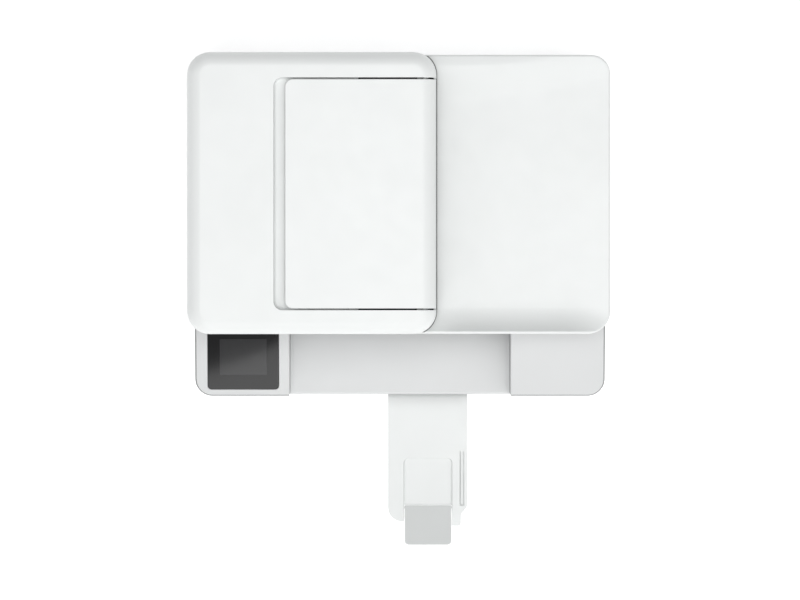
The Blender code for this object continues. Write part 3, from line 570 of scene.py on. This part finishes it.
class PRINTER_OT_feeder_cover(bpy.types.Operator):
    """Make the sheet feeder's pillow-shaped cover, with the pocket and finger groove of its flap"""

    bl_idname = "printer.feeder_cover"
    bl_label = "Sheet feeder cover"

    def execute(self, context):
        shell = context.scene.printer_shell
        low, high = COVER_LOW, COVER_HIGH
        front, back = FLAP_FRONT - shell.slit, FLAP_BACK + shell.slit
        groove, mouth, floor, clear = -129.8, -43, 269, 290
        boss_left, boss_right, boss_length, gap = 18, 30, 6, 0.1
        outside = block(low, high, corners=(CORNER,) * 4, top=shell.brow, steps=14)
        inside = block(
            (low.x + WALL, low.y + WALL, low.z - 20), (high.x - WALL, high.y - WALL, high.z - WALL),
            corners=(CORNER - WALL,) * 4, top=shell.brow - WALL, steps=8)
        hollow = combine(outside, cuts=[inside])
        pocket = block((groove - WALL, front - WALL, floor - 2.6), (mouth, back + WALL, high.z - 1.4))
        bosses = [
            block((boss_left, near, 258), (boss_right, far, 275))
            for near, far in ((front - boss_length, front - gap), (back + gap, back + boss_length))]
        cut_pocket = block(
            (groove, front, floor), (mouth + 7, back, clear), corners=(9, 0, 0, 9), bottom=3)
        cut_mouth = block((mouth, front, 225), (50, back, clear))
        pin_hole = rod((FLAP_PIN.x, (front + back) / 2, FLAP_PIN.z), "Y", 2.5, back - front + 9)
        cover = combine(hollow, joins=[pocket, *bosses], cuts=[cut_pocket, cut_mouth, pin_hole])
        piece("feeder_cover_shell", rounded(cover, shell.edge, angle=40), "feeder_cover",
              "moulded_abs_white", replaces=["feeder_cover"])
        # Black liners under the flap's end slits: painted shade that darkens the slits.
        for name, y, outward in (("front_slit_painted_shade", front, -1), ("back_slit_painted_shade", back, 1)):
            self.slit_shade_liner(name, y, outward, mouth + 0.3)
        return {"FINISHED"}

    def slit_shade_liner(self, name, y, outward, left):
        """The black liner under the slit at one end of the flap, as painted shade: a dark piece put where
        there is only shade, so that the slit looks dark. It is a long wall, and a tab at its right.
        """
        outer, face, inner = y + 1.8 * outward, y + 0.6 * outward, y - 1.4 * outward
        under = COVER_HIGH.z - WALL + 0.2
        outline = [(inner, 262), (outer, 262), (outer, under), (face, under), (face, 264), (inner, 266)]
        wall = rounded(prism(outline, "X", left, 17.5), 0.2, angle=50)
        outline = [(inner, 256), (outer, 256), (outer, 258.5), (inner, 261.5)]
        tab = rounded(prism(outline, "X", 28.8, 34.6), 0.2, angle=50)
        piece(name, combine(wall, joins=[tab]), "feeder_cover",
              "moulded_polycarbonate_black")


class PRINTER_OT_feeder_flap(bpy.types.Operator):
    """Make the flap that closes the feeder and swings over as its input tray"""

    bl_idname = "printer.feeder_flap"
    bl_label = "Sheet feeder flap"

    def execute(self, context):
        shell = context.scene.printer_shell
        thick, left, top = 3, FLAP_LEFT, COVER_HIGH.z
        centre = (FEEDER_RIGHT - shell.brow, top - shell.brow)
        outline = [
            (left, top - thick), (left, top), *arc(centre, shell.brow, 90, 8, 14),
            *arc(centre, shell.brow - thick, 8, 90, 14)]
        plate = prism(outline, "Y", FLAP_FRONT, FLAP_BACK)
        plan = block((left, FLAP_FRONT, 240), (60, FLAP_BACK, 300), corners=(8, 0, 0, 8), steps=8)
        outside = block((left - 30, FLAP_FRONT - 30, 250), (70, FLAP_BACK + 30, 290))
        plate = combine(plate, cuts=[combine(outside, cuts=[plan])])
        plate = rounded(plate, 0.8, steps=3, angle=50)
        ears, pins = [], []
        for end, inward in ((FLAP_FRONT, 1), (FLAP_BACK, -1)):
            ys = sorted((end + 0.2 * inward, end + 3 * inward))
            low, high = (FLAP_PIN.x - 4, ys[0], FLAP_PIN.z - 3.5), (FLAP_PIN.x + 4, ys[1], 276)
            ears.append(block(low, high, corners=(1,) * 4, steps=3))
            pins.append(rod((FLAP_PIN.x, end - 0.8 * inward, FLAP_PIN.z), "Y", 2, 7.4, edge=0.4))
        under = top - thick
        ribs = [
            block((left + 12, y - 0.8, under - 1.2), (0, y + 0.8, under + 0.5), top=0.3, steps=3)
            for y in range(30, 195, 41)]
        plate = combine(plate, joins=[*ears, *pins, *ribs])
        piece("feeder_flap_plate", plate, "feeder_flap", "moulded_abs_white",
              replaces=["feeder_flap"])
        return {"FINISHED"}


def ease(value, start, end):
    """0 before start, 1 after end, and a smooth step between them."""
    t = min(1, max(0, (value - start) / (end - start)))
    return t * t * (3 - 2 * t)


class PRINTER_OT_lid(bpy.types.Operator):
    """Make the scanner lid: a flat deck under the feeder and a dished shelf beside it"""

    bl_idname = "printer.lid"
    bl_label = "Scanner lid"

    rim = 2.2          # how far in the dish's outer edge begins to roll over
    crest = 2.4        # how far in the front lip is highest
    lip = 1.3          # rise of the dish's front lip over its back
    slope_foot = 12    # where the floor begins to climb towards the front lip
    back_rise = 7      # rise of the dish's back over its floor
    half_climb = 19    # half the depth of that rise, from front to back
    under = 26         # how far the dish runs on under the feeder's rounded corners
    back_corner = 20   # plan radius at the back right, tighter so that it hides the body below

    def height(self, x, y, depth):
        """Level of the dish. Its front climbs to a lip that fades towards the right corner, and its
        back climbs more gently and rolls over."""
        floor = LID_HIGH.z + self.lip - depth
        to_corner, from_feeder = ease(x, 172, 222), ease(x, 38, 66)
        lip_share = (1 - 0.72 * to_corner) * (0.8 + 0.2 * from_feeder)
        into_front = min(1, max(0, (self.slope_foot - y) / (self.slope_foot - LID_LOW.y - self.crest)))
        middle = 229 + 22 * (max(0, x - 50) / 158) ** 2
        climb = ease(y, middle - self.half_climb, middle + self.half_climb) - 0.14 * ease(y, 246, 259)
        return floor + depth * lip_share * into_front ** 3.6 + self.back_rise * climb

    def roll(self, x, y):
        """How far the rolled edge lies below the dish at a point, by its distance from the outline."""
        middle, half = (LID_LOW.y + LID_HIGH.y) / 2, (LID_HIGH.y - LID_LOW.y) / 2
        to_side, to_end = LID_HIGH.x - x, half - abs(y - middle)
        corner = self.back_corner if y > middle else CORNER
        if to_side < corner and to_end < corner:
            inside = corner - math.hypot(corner - to_side, corner - to_end)
        else:
            inside = min(to_side, to_end)
        return 0.42 * max(0, self.rim - inside) ** 2

    def dish(self, depth):
        """A slab with the lid's plan, cut from above by the dish's surface. The surface's grid is finer
        near the outline, where the edge rolls over."""
        left, border, past = FEEDER_RIGHT - self.under, 27, 2
        columns, rows, fine = 100, 140, 45
        across = [(0, left - 3), (columns - fine, LID_HIGH.x - border), (columns, LID_HIGH.x + past)]
        along = [
            (0, LID_LOW.y - past), (fine, LID_LOW.y + border),
            (rows - fine, LID_HIGH.y - border), (rows, LID_HIGH.y + past)]
        surface = bmesh.new()
        bmesh.ops.create_grid(surface, x_segments=columns, y_segments=rows, size=1)
        for vert in surface.verts:
            x = self.spaced((vert.co.x + 1) / 2 * columns, across)
            y = self.spaced((vert.co.y + 1) / 2 * rows, along)
            vert.co = (x, y, self.height(x, y, depth) - self.roll(x, y))
        above = pulled(surface, list(surface.faces), (0, 0, 30))
        slab = block((left, LID_LOW.y, LID_LOW.z), (LID_HIGH.x, LID_HIGH.y, 235),
                     corners=(0, CORNER, self.back_corner, 0), steps=20)
        return combine(slab, cuts=[above])

    def spaced(self, count, stops):
        """The place of a grid line, by straight lines between stops of (count, place)."""
        for (start, low), (end, high) in zip(stops, stops[1:]):
            if count <= end:
                break
        return low + (high - low) * (count - start) / (end - start)

    def feeder_foot_shadow_strip(self):
        """A mid-grey strip along the feeder's foot, as painted shadow: a dark strip that stands in for the
        shadow line in the joint between the feeder's foot and the dish. Its top climbs with the lip at the
        front, and with the dish at the back, where it stands further out."""
        proud, top, overhang = 1.3, DECK + 0.8, 2.6
        low, high = COVER_LOW, COVER_HIGH
        back, back_top = high.y - 36, top + 3.2
        strip = block((-20, low.y - proud, top - 4.5), (high.x + proud, high.y + proud + overhang, 228),
                      corners=(0, CORNER + proud, CORNER + proud, 0), steps=14)
        feeder = block((-30, low.y + 0.1, 200), (high.x - 0.1, high.y - 0.1, 240),
                       corners=(0, CORNER, CORNER, 0), steps=14)
        above = prism([
            (-60, 226), (-30, 225.9), (-26, 222.4), (-22, 219.7), (-19, top), (back, top),
            (back, back_top), (high.y + 9, back_top), (high.y + 9, 240), (-60, 240)], "X", -40, 60)
        front_end = block((-40, low.y - 9, 200), (60, low.y + 1.5, 239))
        back_end = block((-40, high.y - 1.5, 201), (60, high.y + 9, 241))
        strip = combine(strip, cuts=[feeder, above, front_end, back_end])
        piece("feeder_foot_painted_shadow", rounded(strip, 0.2, angle=50), "lid",
              "mid_grey_painted_shadow")

    def execute(self, context):
        low, high = LID_LOW, LID_HIGH
        deck = block(low, (FEEDER_RIGHT + 0.3, high.y, DECK), corners=(CORNER,) * 4, steps=12)
        feeder = block(
            (low.x, low.y, DECK), (FEEDER_RIGHT, high.y, 240), corners=(CORNER,) * 4, steps=12)
        pocket = block((-200, -16, 200), (200, 238, 211.3), corners=(6,) * 4, steps=4)
        notches = [
            block((x - 8.5, 243.5, 200), (x + 8.5, 262, 214.6)) for x in (-160, 160)]
        pins = [rod((x, LID_PIN.y, LID_PIN.z), "X", 2, 22) for x in (-160, 160)]
        dish = combine(self.dish(context.scene.printer_shell.dish_depth), cuts=[feeder])
        shell = combine(combine(dish, joins=[deck], cuts=[pocket, *notches]), joins=pins)
        piece("lid_top_shell", shell, "lid", "moulded_abs_white",
              replaces=["lid_shell"], smooth=28)
        self.feeder_foot_shadow_strip()
        return {"FINISHED"}


class PRINTER_OT_output(bpy.types.Operator):
    """Make the output bed, its pull-out extension and the folding paper stop"""

    bl_idname = "printer.output"
    bl_label = "Output bed and extension"

    def execute(self, context):
        left, right, inner_end = TONGUE_LOW.x, TONGUE_HIGH.x, TONGUE_HIGH.y
        stop_left, stop_right = 4.6, 55.4
        left_front, notch, tab_front, shoulder = -234.5, -216.8, TONGUE_LOW.y, -219.5
        outline = [
            (left, inner_end), *arc((left + 15, left_front + 15), 15, 180, 270, 12),
            (stop_left, left_front), (stop_left, notch), (stop_right, notch), (stop_right, tab_front),
            *arc((62.5, tab_front + 3), 3, 270, 360, 6), (65.5, shoulder - 7),
            *arc((right - 6, shoulder + 3), 6, -50, 0, 6), (right, inner_end)]
        top, clear, ahead = 94.8, 100, -230
        recess_back, recess_floor, step_floor = -166.8, 91.5, 90.95
        plate = prism(outline, "Z", TONGUE_LOW.z, top)
        recess = block(
            (stop_left, ahead, recess_floor), (stop_right, recess_back, 96), corners=(0, 0, 5, 5))
        bmesh.ops.scale(recess, vec=(1.04, 1, 1), space=Matrix.Translation((-STOP_PIN.x, 0, 0)),
                        verts=[v for v in recess.verts if v.co.z > 95])
        step = prism(
            [(ahead, step_floor), (-178.5, step_floor), (-173, 91.55), (-173, clear), (ahead, clear)],
            "X", stop_left + 0.8, stop_right - 0.8)
        slit, slit_left, slit_right, slit_floor = 1.3, 64.0, 67.5, 92.4
        finger_back, finger_front = -159.4, -217.4
        slits = [
            block((x, finger_front, slit_floor), (x + slit, finger_back, clear),
                  corners=(0, 0, 0.5, 0.5), steps=3)
            for x in (slit_left, slit_right)]
        slits.append(block(
            (slit_left, finger_front, slit_floor), (slit_right + slit, finger_front + slit, clear)))
        hole = rod((STOP_PIN.x, STOP_PIN.y, STOP_PIN.z), "X", 1.45, 57)
        catch = block((10, inner_end - 6, 94.5), (48, inner_end - 2, 95.6))
        dip = self.dip(left, right, top)
        tongue = combine(plate, joins=[catch], cuts=[recess, step, dip, *slits, hole])
        piece("extension_tongue_plate", rounded(tongue, 0.2, angle=50), "extension",
              "moulded_abs_white_shaded_copy", replaces=["extension_tongue"])
        self.paper_stop((stop_left + stop_right) / 2, (stop_right - stop_left) / 2 - 0.5)
        self.bed()
        return {"FINISHED"}

    def dip(self, left, right, top):
        """The scoop across the tongue near its slot: it curves down from its front end to its lowest
        line, and climbs back straight."""
        front, back, length, depth = -118, -66, 22, 2.7
        curve = [(y, top - depth * ((y - front) / length) ** 2) for y in range(-115, -93, 3)]
        outline = [
            (front, top + 0.01), *curve, (-90, top - depth), (back, top + 0.01), (back, 99), (front, 99)]
        return prism(outline, "X", left - 5, right + 5)

    def bed(self):
        """The sloped bed that printed sheets fall on, with the extension's slot and rails."""
        front, wall, lip, half = POD_FRONT, 2.8, 2.5, 117.2
        foot, crown, fold, back = 88.9, 109.5, -25, 8
        outline = [
            (front, foot), *arc((front + lip, crown), lip, 180, 90, 8), (fold, 101), (back, 99.6),
            (back, 96.6), (fold, 98), (front + 3.8, 108.6), (front + wall, 107.6), (front + wall, foot)]
        slab = rounded(prism(outline, "X", -half, half), 0.4, angle=50)
        rails = [block((x, front + 1, 89.4), (x + 4, -5, 99.4)) for x in (-18.5, 73.8)]
        rails += [block((x, front + 4, 89), (x + 6.6, -5.5, 90.3)) for x in (-17.1, 69.8)]
        slot = block((-14.2, front - 5, 80), (73.5, front + 3.4, 106))
        piece("output_bed_moulding", combine(slab, joins=rails, cuts=[slot]), "base",
              "moulded_abs_bed_grey", replaces=["output_bed"])

    def paper_stop(self, middle, half):
        root, reach, left, right = -2.4, 46.9, middle - half, middle + half
        plate = block((left, root, -1), (right, reach, 1), corners=(0, 0, 5, 5), steps=8)
        dish = block((left + 5, 6, 0.5), (right - 5, reach - 5, 3), corners=(3,) * 4, steps=5)
        plate = rounded(combine(plate, cuts=[dish]), 0.35, steps=3, angle=50)
        pin = rod((middle, 0, 0), "X", 1.1, 2 * half + 5.5, edge=0.3)
        swing = Matrix.Rotation(math.radians(145), 4, "X")
        swing = Matrix.Translation((0, STOP_PIN.y, STOP_PIN.z)) @ swing
        stop = moved(combine(plate, joins=[pin]), swing)
        piece("paper_stop_plate", stop, "paper_stop", "moulded_abs_grey",
              replaces=["paper_stop"])


class PRINTER_OT_front_pods(bpy.types.Operator):
    """Make the two front pods' caps, the mid-grey strip of painted shadow under each cap, and the display
    """

    bl_idname = "printer.front_pods"
    bl_label = "Front pods"

    corner = 17
    cap = 3
    glass_area = ((-203.3, -76), (-128.3, -11.6))    # low and high corner, in the cap's own plane
    panel_area = ((-190.5, -60.4), (-141, -22.6))

    def execute(self, context):
        inner, outer = POD_LOW.x, POD_HIGH.x
        for side, name, node in ((-1, "control_panel_plate", "control_panel_bezel"),
                                 (1, "right_cap_plate", "right_pod_cap")):
            xs = sorted((side * inner, side * outer))
            radii = (self.corner, 0, 0, 0) if side < 0 else (0, self.corner, 0, 0)
            plate = block((xs[0], -POD_LENGTH, -self.cap), (xs[1], 0, 0), corners=radii, steps=14)
            if side < 0:
                plate = combine(plate, cuts=[self.window(self.glass_area, 4, 0.25, -self.cap - 2, 2)])
            plate = moved(rounded(plate, 0.7, steps=3, angle=50), POD_PLANE)
            piece(name, plate, "base", "moulded_abs_light_grey", replaces=[node])
            self.cap_edge_shadow_strip(side, xs)
        self.display()
        return {"FINISHED"}

    def window(self, area, corner, gap, low, high, steps=8):
        """A block over an area of the cap, made larger by gap on every side."""
        (left, front), (right, back) = area
        return block((left - gap, front - gap, low), (right + gap, back + gap, high),
                     corners=(corner + gap,) * 4, steps=steps)

    def cap_edge_shadow_strip(self, side, xs):
        """A thin mid-grey edge strip that stands a little proud under the cap's outer edges: painted
        shadow, a dark strip that draws the shaded edge line of the cap.
        """
        proud = 1.1
        low = Vector((xs[0] - (proud if side < 0 else 0), -POD_LENGTH - proud, -self.cap - 0.6))
        high = Vector((xs[1] + (proud if side > 0 else 0), -1, -self.cap + 0.9))
        radii = [self.corner + proud if edge == (0 if side < 0 else 1) else 0 for edge in range(4)]
        strip = block(low, high, corners=radii, steps=14)
        keep_in = 20
        low = Vector((xs[0] + (0.02 if side < 0 else -keep_in), -POD_LENGTH + 0.02, -20))
        high = Vector((xs[1] + (keep_in if side < 0 else -0.02), keep_in, 20))
        radii = [self.corner if radius else 0 for radius in radii]
        strip = rounded(combine(strip, cuts=[block(low, high, corners=radii, steps=14)]), 0.2, angle=50)
        name = "left_cap_painted_shadow" if side < 0 else "right_cap_painted_shadow"
        piece(name, moved(strip, POD_PLANE), "base", "mid_grey_painted_shadow")

    def display(self):
        glass = rounded(self.window(self.glass_area, 4, 0, -self.cap, 0.1), 0.3, angle=50)
        glass = combine(glass, cuts=[self.window(self.panel_area, 0.5, 0.1, -0.02, 3, steps=3)])
        piece("display_cover_glass", moved(glass, POD_PLANE), "base",
              "strengthened_glass_black", replaces=["display_glass"])
        panel = self.window(self.panel_area, 0.5, 0, -0.6, 0.09, steps=3)
        piece("display_panel", moved(panel, POD_PLANE), "base", "liquid_crystal_panel")


class PRINTER_OT_casings(bpy.types.Operator):
    """Round the edges of the other moulded casings, and lay the feeder's strip of scanner glass"""

    bl_idname = "printer.casings"
    bl_label = "Casings"

    casings = {
        "left_pod": 0.5, "right_pod": 0.5, "left_side_cover": 0.6, "right_side_cover": 0.6,
        "tray_front": 0.8, "rear_cover": 0.5, "scanner_tray": 0.8,
        "scanner_frame": 0.5, "feeder_base": 0.4, "ink_door": 0.5, "rear_door": 0.4,
        "base_pan": 0.8, "tray_body": 0.5,
    }

    def execute(self, context):
        finish_of = {node: finish for finish, nodes in NODE_FINISHES.items() for node in nodes}
        bodies = frame["record"]["behaviour"]["bodies"]
        body_of = {node: body for body, nodes in bodies.items() for node in nodes}
        for node, width in self.casings.items():
            shape = node_shape(node)
            piece(f"{node}_moulding", rounded(shape, width, angle=40), body_of[node],
                  finish_of[node], replaces=[node])
        strip = block((-186.7, 1.3, 204.8), (-168.3, 222.7, 205.8), top=0.2, steps=3)
        piece("feeder_strip_glass", strip, "base", "float_glass_clear")
        return {"FINISHED"}


class PRINTER_OT_stage(bpy.types.Operator):
    """Set the white table, the soft studio lights and the camera straight above"""

    bl_idname = "printer.stage"
    bl_label = "Stage"

    def execute(self, context):
        studio = context.scene.printer_studio
        bm = bmesh.new()
        bmesh.ops.create_grid(bm, x_segments=1, y_segments=1, size=6)
        mesh = bpy.data.meshes.new("studio_floor")
        bm.to_mesh(mesh)
        bm.free()
        floor = bpy.data.objects.new("studio_floor", mesh)
        context.scene.collection.objects.link(floor)
        mesh.materials.append(bpy.data.materials["opal_acrylic_table"])
        self.softbox("key_softbox", (0.4, -1.58, 2.9), (3.6, 1.9), studio.key, spin=5)
        self.softbox("overhead_softbox", (0.1, 0.15, 3), (1.2, 1.1), studio.overhead)
        self.softbox("low_front_softbox", (0, -3.2, 1.4), (4, 1.4), studio.sides * 2.2)
        for x in (-2.6, 2.6):
            self.softbox("side_softbox", (x, -0.2, 2.2), (2.4, 2.4), studio.sides)
        self.room(studio.fill)
        self.camera(context, studio.camera_height)
        context.scene.view_settings.view_transform = "Standard"
        return {"FINISHED"}

    def softbox(self, name, place, size, power, spin=0):
        """A rectangular lamp that faces the printer, turned about its own axis by spin degrees."""
        light = bpy.data.lights.new(name, "AREA")
        light.shape = "RECTANGLE"
        light.size, light.size_y = size
        light.energy = power
        lamp = bpy.data.objects.new(name, light)
        lamp.location = place
        facing = (Vector((0, 0, 0.15)) - Vector(place)).to_track_quat("-Z", "Y")
        lamp.rotation_euler = (facing @ Quaternion((0, 0, 1), math.radians(spin))).to_euler()
        bpy.context.scene.collection.objects.link(lamp)

    def room(self, brightness):
        world = bpy.data.worlds.new("white_room")
        world.use_nodes = True
        background = world.node_tree.nodes["Background"]
        background.inputs["Color"].default_value = (0.98, 0.99, 1, 1)
        background.inputs["Strength"].default_value = brightness
        bpy.context.scene.world = world

    def camera(self, context, height):
        """A long lens straight above, so the upper parts look only a little larger."""
        towards_back = 0.0031
        data = bpy.data.cameras.new("camera")
        data.lens = 176.4
        data.sensor_width = 36
        data.clip_end = 20
        camera = bpy.data.objects.new("camera", data)
        camera.location = (0, towards_back, height)
        context.scene.collection.objects.link(camera)
        context.scene.camera = camera


class PRINTER_PT_panel(bpy.types.Panel):
    """The printer's settings and steps"""

    bl_label = "Printer"
    bl_space_type = "VIEW_3D"
    bl_region_type = "UI"
    bl_category = "Printer"

    def draw(self, context):
        for settings in (
            context.scene.printer_shell, context.scene.printer_finish, context.scene.printer_studio,
        ):
            for name in settings.__annotations__:
                self.layout.prop(settings, name)
        for operator in OPERATORS:
            self.layout.operator(operator.bl_idname)


SETTINGS = (ShellSettings, FinishSettings, StudioSettings)
OPERATORS = (
    PRINTER_OT_finishes, PRINTER_OT_feeder_cover, PRINTER_OT_feeder_flap, PRINTER_OT_lid,
    PRINTER_OT_output, PRINTER_OT_front_pods, PRINTER_OT_casings, PRINTER_OT_stage,
)


def register():
    for cls in (*SETTINGS, *OPERATORS, PRINTER_PT_panel):
        bpy.utils.register_class(cls)
    bpy.types.Scene.printer_shell = PointerProperty(type=ShellSettings)
    bpy.types.Scene.printer_finish = PointerProperty(type=FinishSettings)
    bpy.types.Scene.printer_studio = PointerProperty(type=StudioSettings)


def unregister():
    del bpy.types.Scene.printer_shell
    del bpy.types.Scene.printer_finish
    del bpy.types.Scene.printer_studio
    for cls in (PRINTER_PT_panel, *reversed(OPERATORS), *reversed(SETTINGS)):
        bpy.utils.unregister_class(cls)


def main():
    register()
    for operator in OPERATORS:
        group, name = operator.bl_idname.split(".")
        getattr(getattr(bpy.ops, group), name)()


if __name__ == "__main__":
    main()
